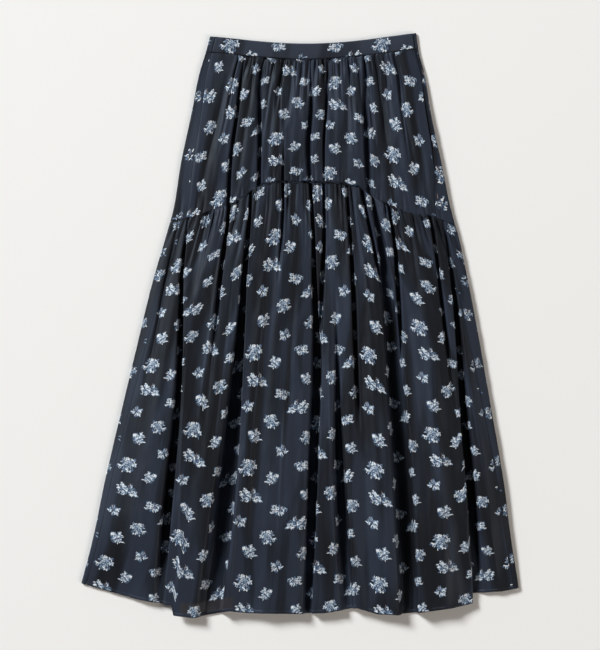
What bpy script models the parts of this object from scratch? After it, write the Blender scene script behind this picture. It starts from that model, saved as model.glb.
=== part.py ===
"""Long tiered skirt of thin crisp cloth, laid flat on a surface with its front side up.

A flat waistband carries a gathered hip tier, and a longer gathered tier hangs from that
down to the hem. The back lies flat on the surface. The front lies over it in long folds
that run from the band to the hem. At both sides the back wraps a little way onto the
front, where the side seams lie, and the right seam has an open pocket slit.

Metres, +Z up. X runs across the skirt, +Y runs towards the waist, and the underside of
the back lies at z = 0.
"""
from typing import NamedTuple

import bpy
import numpy as np

# Wall of one layer of the cloth, of the stiffened band and of the doubled pocket bag
CLOTH_WALL = 0.0012
BAND_WALL = 0.0016
POCKET_WALL = 0.0010

# Sewn edges lie this far apart, a little more where the cloth slopes or is gathered into a seam
SEAM_GAP = 0.0003
SLOPING_GAP = 0.0005
GATHERED_GAP = 0.0008

# The skirt's whole length, from the high end of the waist edge to the lowest point of the hem
LENGTH = 0.8928
HALF_LENGTH = LENGTH / 2

# The waist edge: its left end lies lower than its right end, and its middle dips
WAIST_TILT = 0.0069
WAIST_DIP = 0.0134
BAND_HEIGHT = 0.0240

# Heights of the cloth's outer face above the surface
SIDE_FOLD_HEIGHT = 0.0040
VALLEY_FLOOR = 0.0032
SIDE_RISE = 0.016

# How far down the skirt each level lies, by the middle of the front
BAND_FOOT_LEVEL = 0.024
TIER_LEVEL = 0.262
HEM_LEVEL = 0.880

# Rows of cells down each piece
BAND_ROWS = 1
UPPER_ROWS = 9
LOWER_ROWS = 16

# The pocket slit in the right side seam, and the bag behind it
SLIT_TOP_LEVEL = 0.066
SLIT_FOOT_LEVEL = 0.185
SLIT_OPENING = 0.0009
POCKET_TOP = 0.088
POCKET_FOOT = 0.236
POCKET_REACH = 0.075
POCKET_SIDE_CLEARANCE = 0.006


class Side(NamedTuple):
    """Where the two side folds lie at one distance below the waist edge's high end."""
    down: float
    left: float
    right: float


SIDES = (
    Side(down=0.000, left=-0.1385, right=0.1780),
    Side(down=0.030, left=-0.1440, right=0.1822),
    Side(down=0.060, left=-0.1530, right=0.1900),
    Side(down=0.120, left=-0.1650, right=0.2000),
    Side(down=0.200, left=-0.1820, right=0.2170),
    Side(down=0.275, left=-0.1945, right=0.2325),
    Side(down=0.310, left=-0.2045, right=0.2405),
    Side(down=0.380, left=-0.2250, right=0.2550),
    Side(down=0.470, left=-0.2470, right=0.2730),
    Side(down=0.570, left=-0.2710, right=0.2940),
    Side(down=0.680, left=-0.2970, right=0.3110),
    Side(down=0.780, left=-0.3180, right=0.3240),
    Side(down=0.850, left=-0.3360, right=0.3350),
    Side(down=0.895, left=-0.3440, right=0.3390),
)


class EdgePoint(NamedTuple):
    """One point of a seam or hem line: its share of the width from the left, and its distance down."""
    across: float
    down: float


# The tier seam arches up over the middle of the front
TIER_LINE = (
    EdgePoint(across=0.000, down=0.2884),
    EdgePoint(across=0.093, down=0.2800),
    EdgePoint(across=0.171, down=0.2685),
    EdgePoint(across=0.231, down=0.2560),
    EdgePoint(across=0.270, down=0.2450),
    EdgePoint(across=0.310, down=0.2310),
    EdgePoint(across=0.384, down=0.2272),
    EdgePoint(across=0.600, down=0.2285),
    EdgePoint(across=0.680, down=0.2350),
    EdgePoint(across=0.740, down=0.2550),
    EdgePoint(across=0.790, down=0.2655),
    EdgePoint(across=0.861, down=0.2770),
    EdgePoint(across=0.936, down=0.2820),
    EdgePoint(across=1.000, down=0.2930),
)

# The front hem steps where a fold's edge lies over its neighbour
HEM_LINE = (
    EdgePoint(across=0.000, down=0.8407),
    EdgePoint(across=0.040, down=0.8480),
    EdgePoint(across=0.140, down=0.8660),
    EdgePoint(across=0.205, down=0.8730),
    EdgePoint(across=0.225, down=0.8895),
    EdgePoint(across=0.268, down=0.8928),
    EdgePoint(across=0.352, down=0.8820),
    EdgePoint(across=0.388, down=0.8850),
    EdgePoint(across=0.517, down=0.8866),
    EdgePoint(across=0.632, down=0.8775),
    EdgePoint(across=0.677, down=0.8866),
    EdgePoint(across=0.729, down=0.8880),
    EdgePoint(across=0.846, down=0.8775),
    EdgePoint(across=0.889, down=0.8700),
    EdgePoint(across=0.912, down=0.8550),
    EdgePoint(across=0.959, down=0.8530),
    EdgePoint(across=1.000, down=0.8480),
)
BACK_HEM_SAG = 0.024

# Levels of the height and wrap tables: band foot, hip, tier seam, thigh, knee, hem
FOLD_LEVELS = (0.024, 0.160, 0.262, 0.410, 0.640, 0.880)

# Height of the folds' tops at those levels
FOLD_HEIGHTS = (0.0052, 0.0092, 0.0082, 0.0130, 0.0165, 0.0190)


class Crest(NamedTuple):
    """How high the folds stand beside the mean fold, at a share of the skirt's width."""
    across: float
    lift: float


CRESTS = (
    Crest(across=0.00, lift=0.62),
    Crest(across=0.10, lift=0.90),
    Crest(across=0.20, lift=1.00),
    Crest(across=0.40, lift=1.04),
    Crest(across=0.55, lift=0.88),
    Crest(across=0.66, lift=0.98),
    Crest(across=0.84, lift=1.05),
    Crest(across=0.93, lift=0.92),
    Crest(across=1.00, lift=0.64),
)

# Stations down each tier, as shares of its height, that the valley tables use
HIP_STATIONS = (0.00, 0.15, 0.40, 0.65, 1.00)
LONG_STATIONS = (0.00, 0.12, 0.24, 0.42, 0.61, 0.81, 1.00)


class Valley(NamedTuple):
    """A valley between two folds of one tier.

    across and reach are its middle and half width as shares of the skirt's width, and depth
    is the share of the fold's height that it drops, all at the tier's stations. lean is how
    far the fold on its right hangs over it at the hem, or the fold on its left if below 0.
    """
    name: str
    across: tuple
    reach: tuple
    depth: tuple
    lean: float


# Each valley of the hip tier meets one of the long tier at the tier seam, in the same order
HIP_VALLEYS = (
    Valley("left soft", (0.130, 0.125, 0.105, 0.085, 0.062), (0.010, 0.010, 0.008, 0.006, 0.005),
           (0.40, 0.35, 0.15, 0.0, 0.20), 0.0),
    Valley("left", (0.186, 0.189, 0.192, 0.191, 0.198), (0.005, 0.006, 0.0065, 0.007, 0.006),
           (0.70, 0.95, 1.0, 1.0, 0.90), 0.0012),
    Valley("left middle", (0.284, 0.274, 0.284, 0.297, 0.290), (0.006, 0.007, 0.006, 0.006, 0.0055),
           (0.80, 1.0, 1.0, 1.0, 0.60), 0.0012),
    Valley("short", (0.372, 0.362, 0.352, 0.370, 0.392), (0.008, 0.009, 0.006, 0.005, 0.005),
           (0.80, 0.80, 0.10, 0.0, 0.70), 0.0),
    Valley("middle", (0.497, 0.497, 0.500, 0.490, 0.495), (0.005, 0.005, 0.006, 0.0085, 0.0065),
           (0.70, 0.80, 0.90, 1.0, 0.95), 0.0008),
    Valley("right middle", (0.582, 0.572, 0.563, 0.552, 0.560), (0.007, 0.008, 0.006, 0.005, 0.0045),
           (0.90, 1.0, 0.90, 0.80, 0.0), 0.0008),
    Valley("right soft", (0.650, 0.650, 0.645, 0.638, 0.630), (0.006, 0.006, 0.006, 0.005, 0.005),
           (0.20, 0.20, 0.0, 0.0, 0.30), 0.0),
    Valley("right", (0.742, 0.736, 0.728, 0.720, 0.717), (0.005, 0.006, 0.007, 0.009, 0.007),
           (0.60, 0.90, 1.0, 1.0, 0.95), 0.0010),
    Valley("right waist", (0.880, 0.880, 0.878, 0.890, 0.905), (0.005, 0.006, 0.005, 0.005, 0.0045),
           (0.80, 0.90, 0.40, 0.10, 0.20), 0.0),
)

LONG_VALLEYS = (
    Valley("left long", (0.062, 0.083, 0.110, 0.141, 0.159, 0.173, 0.188),
           (0.005, 0.006, 0.007, 0.0075, 0.009, 0.010, 0.010),
           (0.20, 0.90, 1.0, 1.0, 1.0, 0.95, 0.90), 0.0035),
    Valley("left upper", (0.198, 0.209, 0.218, 0.226, 0.232, 0.236, 0.240),
           (0.006, 0.006, 0.006, 0.006, 0.006, 0.006, 0.006),
           (0.90, 0.80, 0.50, 0.10, 0.0, 0.0, 0.0), 0.0),
    Valley("left deep", (0.290, 0.287, 0.294, 0.308, 0.311, 0.311, 0.312),
           (0.0055, 0.0075, 0.0085, 0.011, 0.018, 0.022, 0.024),
           (0.60, 1.0, 1.0, 1.0, 1.0, 1.0, 1.0), 0.0040),
    Valley("short seam", (0.392, 0.396, 0.398, 0.400, 0.404, 0.408, 0.410),
           (0.005, 0.005, 0.005, 0.005, 0.005, 0.005, 0.005),
           (0.70, 0.30, 0.0, 0.0, 0.0, 0.0, 0.0), 0.0),
    Valley("middle deep", (0.495, 0.505, 0.514, 0.528, 0.523, 0.521, 0.521),
           (0.0065, 0.006, 0.008, 0.012, 0.0115, 0.010, 0.008),
           (0.95, 1.0, 1.0, 1.0, 1.0, 1.0, 0.90), 0.0020),
    Valley("knee", (0.560, 0.568, 0.575, 0.580, 0.583, 0.594, 0.608),
           (0.0045, 0.0045, 0.0045, 0.005, 0.007, 0.010, 0.009),
           (0.0, 0.0, 0.0, 0.40, 0.95, 1.0, 0.80), 0.0015),
    Valley("right upper", (0.630, 0.630, 0.635, 0.636, 0.640, 0.650, 0.660),
           (0.005, 0.005, 0.006, 0.006, 0.006, 0.006, 0.006),
           (0.30, 0.80, 0.95, 0.70, 0.0, 0.0, 0.0), 0.0),
    Valley("right deep", (0.717, 0.734, 0.741, 0.744, 0.744, 0.745, 0.745),
           (0.007, 0.014, 0.013, 0.018, 0.019, 0.016, 0.013),
           (0.95, 1.0, 1.0, 1.0, 1.0, 1.0, 1.0), 0.0030),
    Valley("right long", (0.905, 0.918, 0.926, 0.924, 0.915, 0.910, 0.902),
           (0.0045, 0.005, 0.0055, 0.007, 0.008, 0.010, 0.011),
           (0.20, 0.80, 1.0, 1.0, 1.0, 1.0, 1.0), -0.0020),
)

# Where a valley's four columns lie, as shares of its half width from its middle
VALLEY_COLUMNS = (-1.45, -0.50, 0.50, 1.45)

# Where a fold's two columns lie between its valleys, as shares of its width
CREST_COLUMNS = (0.30, 0.70)

# The side seams, on the front, by their distance from the side fold at the same levels
LEFT_WRAP = (0.0090, 0.0170, 0.0210, 0.0160, 0.0110, 0.0080)
RIGHT_WRAP = (0.0050, 0.0090, 0.0250, 0.0180, 0.0110, 0.0080)

# Columns of the back across its flat underside, as shares of the width
BACK_COLUMNS = (0.03, 0.18, 0.34, 0.50, 0.66, 0.82, 0.97)
EDGE_ROUND = 0.0020


def smooth(stations, values, where):
    """Value at a place on the smooth curve through the values, level past both ends."""
    stations = np.asarray(stations, dtype=float)
    values = np.asarray(values, dtype=float)
    slopes = np.gradient(values, stations)
    where = float(np.clip(where, stations[0], stations[-1]))
    low = min(int(np.searchsorted(stations, where, side="right")) - 1, len(stations) - 2)
    span = stations[low + 1] - stations[low]
    part = (where - stations[low]) / span
    start = (1 + 2 * part) * (1 - part) ** 2 * values[low]
    start += part * (1 - part) ** 2 * span * slopes[low]
    end = part ** 2 * (3 - 2 * part) * values[low + 1]
    end -= part ** 2 * (1 - part) * span * slopes[low + 1]
    return start + end


def side_x(down):
    """X of the left and right side folds at a distance down the skirt."""
    downs = [row.down for row in SIDES]
    left = smooth(downs, [row.left for row in SIDES], down)
    right = smooth(downs, [row.right for row in SIDES], down)
    return left, right


def line_down(line, across):
    """How far down a seam or hem line lies at a share of the width."""
    return float(np.interp(across, [point.across for point in line], [point.down for point in line]))


def waist_down(across):
    """How far down the waist edge lies at a share of the width."""
    dip = WAIST_DIP * np.sin(np.pi * np.clip(across, 0.0, 1.0)) ** 1.2
    return WAIST_TILT * (1 - across) + dip


def part_way(level):
    """How far down its tier a level lies, as a share of the tier's height."""
    if level <= TIER_LEVEL:
        return (level - BAND_FOOT_LEVEL) / (TIER_LEVEL - BAND_FOOT_LEVEL)
    return (level - TIER_LEVEL) / (HEM_LEVEL - TIER_LEVEL)


def front_down(across, level):
    """How far down a point of the front lies, between the waist edge, the seams and the hem."""
    waist = waist_down(across)
    if level <= BAND_FOOT_LEVEL:
        return waist + BAND_HEIGHT * level / BAND_FOOT_LEVEL
    part = part_way(level)
    if level <= TIER_LEVEL:
        return (1 - part) * (waist + BAND_HEIGHT) + part * line_down(TIER_LINE, across)
    return (1 - part) * line_down(TIER_LINE, across) + part * line_down(HEM_LINE, across)


def back_down(across, level):
    """How far down a point of the back's underside lies: its seam is straight and its hem sags."""
    waist = waist_down(across)
    tier = (1 - across) * TIER_LINE[0].down + across * TIER_LINE[-1].down
    hem = (1 - across) * HEM_LINE[0].down + across * HEM_LINE[-1].down
    hem += BACK_HEM_SAG * np.sin(np.pi * across)
    if level <= BAND_FOOT_LEVEL:
        return waist + BAND_HEIGHT * level / BAND_FOOT_LEVEL
    part = part_way(level)
    if level <= TIER_LEVEL:
        return (1 - part) * (waist + BAND_HEIGHT) + part * tier
    return (1 - part) * tier + part * hem


def valleys_at(level):
    """Middle, half width, depth and lean of each valley of the tier that a level is in."""
    hip = level <= TIER_LEVEL
    stations = HIP_STATIONS if hip else LONG_STATIONS
    part = part_way(level)
    found = []
    for valley in HIP_VALLEYS if hip else LONG_VALLEYS:
        across = smooth(stations, valley.across, part)
        reach = smooth(stations, valley.reach, part)
        depth = float(np.clip(smooth(stations, valley.depth, part), 0.0, 1.0))
        found.append((across, reach, depth, valley.lean))
    return found


def seam_shares(level):
    """Shares of the width where the left and right side seams lie on the front."""
    left, right = side_x(level)
    width = right - left
    left_share = smooth(FOLD_LEVELS, LEFT_WRAP, level) / width
    right_share = 1 - smooth(FOLD_LEVELS, RIGHT_WRAP, level) / width
    return left_share, right_share


def fold_columns(level):
    """Shares of the width of the front's columns between the side seams, which follow the folds."""
    left_share, right_share = seam_shares(level)
    columns = [left_share]
    for across, reach, _, _ in valleys_at(level):
        near = across + VALLEY_COLUMNS[0] * reach
        start = columns[-1]
        columns.extend(start + (near - start) * share for share in CREST_COLUMNS)
        columns.extend(across + place * reach for place in VALLEY_COLUMNS)
    start = columns[-1]
    columns.extend(start + (right_share - start) * share for share in CREST_COLUMNS)
    columns.append(right_share)
    return columns


def fold_lift(across):
    """How high the fold at a share of the width stands beside the mean fold."""
    return smooth([crest.across for crest in CRESTS], [crest.lift for crest in CRESTS], across)


def front_point(across, level):
    """Point of the front's outer face at a share of the width and a level."""
    down = front_down(across, level)
    left, right = side_x(down)
    x = left + across * (right - left)
    if level <= BAND_FOOT_LEVEL:
        return x, HALF_LENGTH - down, FOLD_HEIGHTS[0]
    to_side = min(x - left, right - x)
    top = smooth(FOLD_LEVELS, FOLD_HEIGHTS, level) * fold_lift(across)
    rise = 1 - np.exp(-max(to_side, 0.0) / SIDE_RISE)
    height = SIDE_FOLD_HEIGHT + max(top - SIDE_FOLD_HEIGHT, 0.0) * rise
    drop = 0.0
    for middle, reach, depth, lean in valleys_at(level):
        place = (across - middle) / reach
        drop = max(drop, depth / (1 + place ** 6))
        edge = np.exp(-(abs(place) - VALLEY_COLUMNS[-1]) ** 2) * (place * lean > 0)
        x -= lean * edge * depth * level / HEM_LEVEL
    height -= drop * (height - VALLEY_FLOOR)
    return x, HALF_LENGTH - down, height


def levels_between(top, foot, rows):
    """Levels of a tier's rows, kept half a gathered gap clear of the seams at its ends."""
    return np.linspace(top + GATHERED_GAP / 2, foot - GATHERED_GAP / 2, rows + 1)


def slit_opening(level):
    """How far the pocket slit's front edge stands off the side seam at a level."""
    part = (level - SLIT_TOP_LEVEL) / (SLIT_FOOT_LEVEL - SLIT_TOP_LEVEL)
    return SLIT_OPENING * np.sin(np.pi * np.clip(part, 0.0, 1.0))


def front_rows(levels):
    """Rows of points of a front piece, from side seam to side seam."""
    rows = []
    for level in levels:
        gap = SEAM_GAP if level <= BAND_FOOT_LEVEL else SLOPING_GAP
        row = [front_point(across, level) for across in fold_columns(level)]
        row[0] = (row[0][0] + gap, row[0][1], row[0][2])
        row[-1] = (row[-1][0] - gap - slit_opening(level), row[-1][1], row[-1][2])
        rows.append(row)
    return rows


def wrap_points(level, seam_share, side_share):
    """Points of the back where it lies on the front, from a side seam out to its side fold."""
    shares = (seam_share, 0.5 * (seam_share + side_share), 0.85 * side_share + 0.15 * seam_share)
    return [front_point(share, level) for share in shares]


def back_rows(levels):
    """Rows of points of a back piece: over the left fold, along the surface, over the right fold."""
    rows = []
    for level in levels:
        left_share, right_share = seam_shares(level)
        left_wrap = wrap_points(level, left_share, 0.0)
        right_wrap = wrap_points(level, right_share, 1.0)
        row = list(left_wrap)
        left, right = side_x(front_down(0.0, level))[0], side_x(front_down(1.0, level))[1]
        left_y = HALF_LENGTH - front_down(0.0, level)
        right_y = HALF_LENGTH - front_down(1.0, level)
        row.append((left, left_y, left_wrap[-1][2] / 2))
        row.append((left + EDGE_ROUND, left_y, 0.0))
        for across in BACK_COLUMNS:
            down = back_down(across, level)
            low, high = side_x(down)
            row.append((low + across * (high - low), HALF_LENGTH - down, 0.0))
        row.append((right - EDGE_ROUND, right_y, 0.0))
        row.append((right, right_y, right_wrap[-1][2] / 2))
        row.extend(reversed(right_wrap))
        rows.append(row)
    return rows


def cloth_material(name, colour, roughness):
    """Material of one cloth piece."""
    material = bpy.data.materials.new(name)
    material.use_nodes = True
    shader = material.node_tree.nodes["Principled BSDF"]
    shader.inputs["Base Color"].default_value = (*colour, 1.0)
    shader.inputs["Roughness"].default_value = roughness
    shader.inputs["Metallic"].default_value = 0.0
    return material


def sheet_object(name, rows, wall, facing_up, material, collection):
    """A cloth piece: a loft through rows of points, thickened away from its outer face."""
    width = len(rows[0])
    points = [point for row in rows for point in row]
    faces = []
    for row in range(len(rows) - 1):
        for column in range(width - 1):
            corner = row * width + column
            face = (corner, corner + width, corner + width + 1, corner + 1)
            faces.append(face if facing_up else face[::-1])
    mesh = bpy.data.meshes.new(name)
    mesh.from_pydata(points, [], faces)
    mesh.materials.append(material)
    mesh.shade_smooth()
    piece = bpy.data.objects.new(name, mesh)
    collection.objects.link(piece)
    thicken = piece.modifiers.new("Cloth wall", "SOLIDIFY")
    thicken.thickness = wall
    thicken.offset = -1.0
    return piece


def pocket_rows():
    """Rows of points of the pocket bag's upper face, a rounded pouch inside the right side fold."""
    base = CLOTH_WALL + SEAM_GAP + POCKET_WALL
    rows = []
    for part in np.linspace(0.0, 1.0, 7):
        down = POCKET_TOP + part * (POCKET_FOOT - POCKET_TOP)
        outer = side_x(down)[1] - POCKET_SIDE_CLEARANCE
        reach = POCKET_REACH * np.sqrt(np.sin(np.pi * (0.12 + 0.80 * part)))
        rows.append([(outer - reach * share, HALF_LENGTH - down, base) for share in (1.0, 0.66, 0.33, 0.0)])
    return rows


def build_skirt():
    """Build every piece of the skirt in one collection."""
    for old in list(bpy.data.objects):
        bpy.data.objects.remove(old, do_unlink=True)
    skirt = bpy.data.collections.new("flared_skirt")
    bpy.context.scene.collection.children.link(skirt)

    band_cloth = cloth_material("band cloth", (0.030, 0.036, 0.062), 0.50)
    upper_cloth = cloth_material("upper tier cloth", (0.026, 0.031, 0.054), 0.45)
    lower_cloth = cloth_material("lower tier cloth", (0.024, 0.029, 0.050), 0.45)
    back_cloth = cloth_material("back cloth", (0.022, 0.027, 0.047), 0.50)
    pocket_cloth = cloth_material("pocket cloth", (0.018, 0.021, 0.036), 0.65)

    band_levels = np.linspace(0.0, BAND_FOOT_LEVEL - SEAM_GAP / 2, BAND_ROWS + 1)
    upper_levels = levels_between(BAND_FOOT_LEVEL, TIER_LEVEL, UPPER_ROWS)
    lower_levels = levels_between(TIER_LEVEL, HEM_LEVEL, LOWER_ROWS)

    sheet_object("back_waistband", back_rows(band_levels), BAND_WALL, False, band_cloth, skirt)
    sheet_object("back_upper_tier", back_rows(upper_levels), CLOTH_WALL, False, back_cloth, skirt)
    sheet_object("back_lower_tier", back_rows(lower_levels), CLOTH_WALL, False, back_cloth, skirt)
    sheet_object("pocket_bag", pocket_rows(), POCKET_WALL, True, pocket_cloth, skirt)
    sheet_object("front_waistband", front_rows(band_levels), BAND_WALL, True, band_cloth, skirt)
    sheet_object("front_upper_tier", front_rows(upper_levels), CLOTH_WALL, True, upper_cloth, skirt)
    sheet_object("front_lower_tier", front_rows(lower_levels), CLOTH_WALL, True, lower_cloth, skirt)


build_skirt()
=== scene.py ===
import math
from typing import NamedTuple

import bpy
import numpy as np
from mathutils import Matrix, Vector


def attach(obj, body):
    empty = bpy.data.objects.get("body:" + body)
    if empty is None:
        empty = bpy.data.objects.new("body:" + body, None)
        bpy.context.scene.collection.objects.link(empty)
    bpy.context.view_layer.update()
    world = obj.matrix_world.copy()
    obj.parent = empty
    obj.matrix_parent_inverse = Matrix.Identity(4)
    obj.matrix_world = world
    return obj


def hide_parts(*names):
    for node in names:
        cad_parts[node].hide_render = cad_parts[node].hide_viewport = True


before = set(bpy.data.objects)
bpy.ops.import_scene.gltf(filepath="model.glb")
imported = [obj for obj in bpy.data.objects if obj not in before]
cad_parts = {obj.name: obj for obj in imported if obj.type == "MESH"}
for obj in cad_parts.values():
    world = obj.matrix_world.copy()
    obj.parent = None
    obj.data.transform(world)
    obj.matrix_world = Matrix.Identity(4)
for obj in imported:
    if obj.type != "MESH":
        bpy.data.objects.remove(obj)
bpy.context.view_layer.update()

# The back of the skirt lies on the surface, right side down. It is a hip tier and a longer
# gathered tier of thin navy taffeta, sewn to a stiffened band. At both sides it turns over
# the fold and comes a little way onto the front, where the side seams lie.
HALF_LENGTH = 0.4464
WAIST_TILT = 0.0050
WAIST_DIP = 0.0134
WAIST_DIP_ROUNDING = 1.2
BAND_HEIGHT = 0.0240
BAND_FOOT_LEVEL = 0.024
TIER_LEVEL = 0.262
HEM_LEVEL = 0.880
VALLEY_FLOOR = 0.0023
SIDE_RISE = 0.024
CLOTH_CLEARANCE = 0.0006
BACK_HEM_SAG = 0.024
HIP_CUT_HEIGHT = 0.235
LONG_CUT_HEIGHT = 0.640
SEAM_BLEND = 0.012
SEAM_PUCKER = 0.0009
seam_pucker_turns = (131.0, 217.0, 389.0)
HEM_BLEND = 0.002


class Side(NamedTuple):
    """How far left and right of the middle the skirt reaches, so far down from its waist."""
    down: float
    left: float
    right: float


sides = [Side(*row) for row in (
    (0.000, -0.1360, 0.1780),
    (0.030, -0.1440, 0.1822),
    (0.060, -0.1530, 0.1900),
    (0.120, -0.1650, 0.2000),
    (0.200, -0.1820, 0.2170),
    (0.275, -0.1945, 0.2325),
    (0.310, -0.2045, 0.2425),
    (0.380, -0.2250, 0.2575),
    (0.470, -0.2470, 0.2745),
    (0.570, -0.2710, 0.2920),
    (0.680, -0.2970, 0.3110),
    (0.780, -0.3180, 0.3240),
    (0.850, -0.3360, 0.3350),
    (0.895, -0.3440, 0.3390),
)]


class EdgePoint(NamedTuple):
    """A point on a seam or hem: its share of the width from the left, and its way down."""
    across: float
    down: float


tier_line = [EdgePoint(*row) for row in (
    (0.000, 0.2884),
    (0.093, 0.2800),
    (0.171, 0.2685),
    (0.231, 0.2560),
    (0.270, 0.2450),
    (0.310, 0.2310),
    (0.384, 0.2272),
    (0.600, 0.2285),
    (0.680, 0.2350),
    (0.740, 0.2550),
    (0.790, 0.2655),
    (0.861, 0.2770),
    (0.936, 0.2820),
    (1.000, 0.2930),
)]

hem_line = [EdgePoint(*row) for row in (
    (0.000, 0.8407),
    (0.040, 0.8480),
    (0.140, 0.8660),
    (0.217, 0.8740),
    (0.220, 0.8890),
    (0.268, 0.8928),
    (0.352, 0.8820),
    (0.388, 0.8850),
    (0.517, 0.8866),
    (0.560, 0.8850),
    (0.632, 0.8775),
    (0.677, 0.8866),
    (0.729, 0.8880),
    (0.846, 0.8775),
    (0.890, 0.8700),
    (0.893, 0.8560),
    (0.959, 0.8530),
    (1.000, 0.8480),
)]


def smooth(stations, values, where):
    """Values at places on the smooth curve through the values, level past both ends."""
    stations = np.asarray(stations, dtype=float)
    values = np.asarray(values, dtype=float)
    slopes = np.gradient(values, stations)
    where = np.clip(np.asarray(where, dtype=float), stations[0], stations[-1])
    low = np.clip(np.searchsorted(stations, where, side="right") - 1, 0, len(stations) - 2)
    span = stations[low + 1] - stations[low]
    part = (where - stations[low]) / span
    start = (1 + 2 * part) * (1 - part) ** 2 * values[low]
    start = start + part * (1 - part) ** 2 * span * slopes[low]
    end = part ** 2 * (3 - 2 * part) * values[low + 1]
    return start + end - part ** 2 * (1 - part) * span * slopes[low + 1]


def ease(low, high, where):
    """Smooth step from 0 at low to 1 at high."""
    part = np.clip((np.asarray(where, dtype=float) - low) / (high - low), 0.0, 1.0)
    return part * part * (3 - 2 * part)


def side_x(down):
    """X of the left and right side folds."""
    downs = [row.down for row in sides]
    left = smooth(downs, [row.left for row in sides], down)
    right = smooth(downs, [row.right for row in sides], down)
    return left, right


def line_down(line, across, blend):
    """Rounded seam or hem line: its straight runs are blended over a short reach."""
    places = [point.across for point in line]
    downs = [point.down for point in line]
    shifts = (-blend, -blend / 2, 0.0, blend / 2, blend)
    return sum(np.interp(across + shift, places, downs) for shift in shifts) / len(shifts)


def tier_seam(across):
    """The gathered seam between the tiers, slightly puckered along its arch."""
    waves = [np.sin(across * turns + turns) for turns in seam_pucker_turns]
    pucker = sum(waves) / len(waves)
    return line_down(tier_line, across, SEAM_BLEND) + SEAM_PUCKER * pucker


def waist_down(across):
    """The band's upper edge, which dips in its middle and slopes up to the right."""
    dip = WAIST_DIP * np.sin(np.pi * np.clip(across, 0.0, 1.0)) ** WAIST_DIP_ROUNDING
    return WAIST_TILT * (1 - across) + dip


def part_way(level):
    """Which stretch a level is in, and how far along it: 0 band, 1 hip tier, 2 long tier."""
    if level <= BAND_FOOT_LEVEL:
        return 0, level / BAND_FOOT_LEVEL
    if level <= TIER_LEVEL:
        return 1, (level - BAND_FOOT_LEVEL) / (TIER_LEVEL - BAND_FOOT_LEVEL)
    return 2, (level - TIER_LEVEL) / (HEM_LEVEL - TIER_LEVEL)


def front_down(across, level):
    """How far down the front's cloth lies at a level, from the waist at 0 to the hem."""
    waist = waist_down(across)
    stretch, part = part_way(level)
    if stretch == 0:
        return waist + BAND_HEIGHT * part
    if stretch == 1:
        return (1 - part) * (waist + BAND_HEIGHT) + part * tier_seam(across)
    return (1 - part) * tier_seam(across) + part * line_down(hem_line, across, HEM_BLEND)


def back_down(across, level):
    """The same for the back, whose tier seam is straight and whose hem sags between its ends."""
    waist = waist_down(across)
    tier = (1 - across) * tier_line[0].down + across * tier_line[-1].down
    hem = (1 - across) * hem_line[0].down + across * hem_line[-1].down
    hem = hem + BACK_HEM_SAG * np.sin(np.pi * across)
    stretch, part = part_way(level)
    if stretch == 0:
        return waist + BAND_HEIGHT * part
    if stretch == 1:
        return (1 - part) * (waist + BAND_HEIGHT) + part * tier
    return (1 - part) * tier + part * hem


# The long folds of the front run from the band to the hem, and deepen on the way down.
fold_levels = (0.024, 0.160, 0.262, 0.410, 0.640, 0.880)
fold_heights = (0.0056, 0.0122, 0.0116, 0.0180, 0.0232, 0.0252)
fold_crests = (0.00, 0.10, 0.20, 0.40, 0.55, 0.66, 0.84, 0.93, 1.00)
fold_lifts = (0.62, 0.90, 1.04, 1.04, 0.92, 1.00, 1.05, 0.92, 0.64)
hem_lifts = (0.22, 0.22, 0.46, 0.58, 0.56, 0.52, 0.62, 0.26, 0.16)
HEM_SETTLES_FROM = 0.74
left_wrap = (0.0090, 0.0170, 0.0210, 0.0160, 0.0110, 0.0080)
right_wrap = (0.0050, 0.0090, 0.0250, 0.0180, 0.0110, 0.0080)
hip_stations = (0.00, 0.15, 0.40, 0.65, 1.00)
long_stations = (0.00, 0.12, 0.24, 0.42, 0.61, 0.81, 1.00)


class Valley(NamedTuple):
    """A valley between two folds: its middle, half width and depth at its tier's stations.

    lean is how far the proud fold hangs over it at the hem, from the right if above 0.
    left_run and right_run say how long the slopes down to it are, in half widths.
    """
    name: str
    across: tuple
    reach: tuple
    depth: tuple
    lean: float
    left_run: float
    right_run: float


hip_valleys = [Valley(*row) for row in (
    ("left", (0.186, 0.189, 0.192, 0.191, 0.197), (0.005, 0.006, 0.0065, 0.007, 0.0065),
     (0.7, 0.95, 1.0, 1.0, 0.95), 0.0012, 0.8, 0.3),
    ("left middle", (0.284, 0.274, 0.284, 0.297, 0.306), (0.007, 0.010, 0.009, 0.008, 0.007),
     (0.8, 1.0, 1.0, 1.0, 0.8), 0.0012, 0.6, 0.4),
    ("short waist", (0.372, 0.362, 0.352, 0.345, 0.340), (0.008, 0.009, 0.006, 0.006, 0.006),
     (0.8, 0.8, 0.1, 0.0, 0.0), 0.0, 0.7, 0.7),
    ("short seam", (0.392,) * 5, (0.004, 0.004, 0.004, 0.004, 0.005),
     (0.0, 0.0, 0.0, 0.1, 0.8), 0.0, 0.6, 0.6),
    ("middle", (0.497, 0.497, 0.500, 0.490, 0.494), (0.006, 0.006, 0.008, 0.0110, 0.008),
     (0.7, 0.8, 0.9, 1.0, 0.9), 0.0008, 0.5, 0.4),
    ("right middle", (0.582, 0.572, 0.563, 0.552, 0.547), (0.007, 0.008, 0.006, 0.005, 0.005),
     (0.9, 1.0, 0.9, 0.8, 0.2), 0.0008, 0.6, 0.4),
    ("right", (0.742, 0.736, 0.728, 0.720, 0.712), (0.006, 0.009, 0.011, 0.011, 0.012),
     (0.6, 0.9, 1.0, 1.0, 1.0), 0.0010, 0.5, 0.3),
    ("right waist", (0.880, 0.880, 0.878, 0.876, 0.874), (0.005, 0.006, 0.005, 0.005, 0.005),
     (0.8, 0.9, 0.4, 0.1, 0.0), 0.0, 0.7, 0.7),
)]

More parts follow.
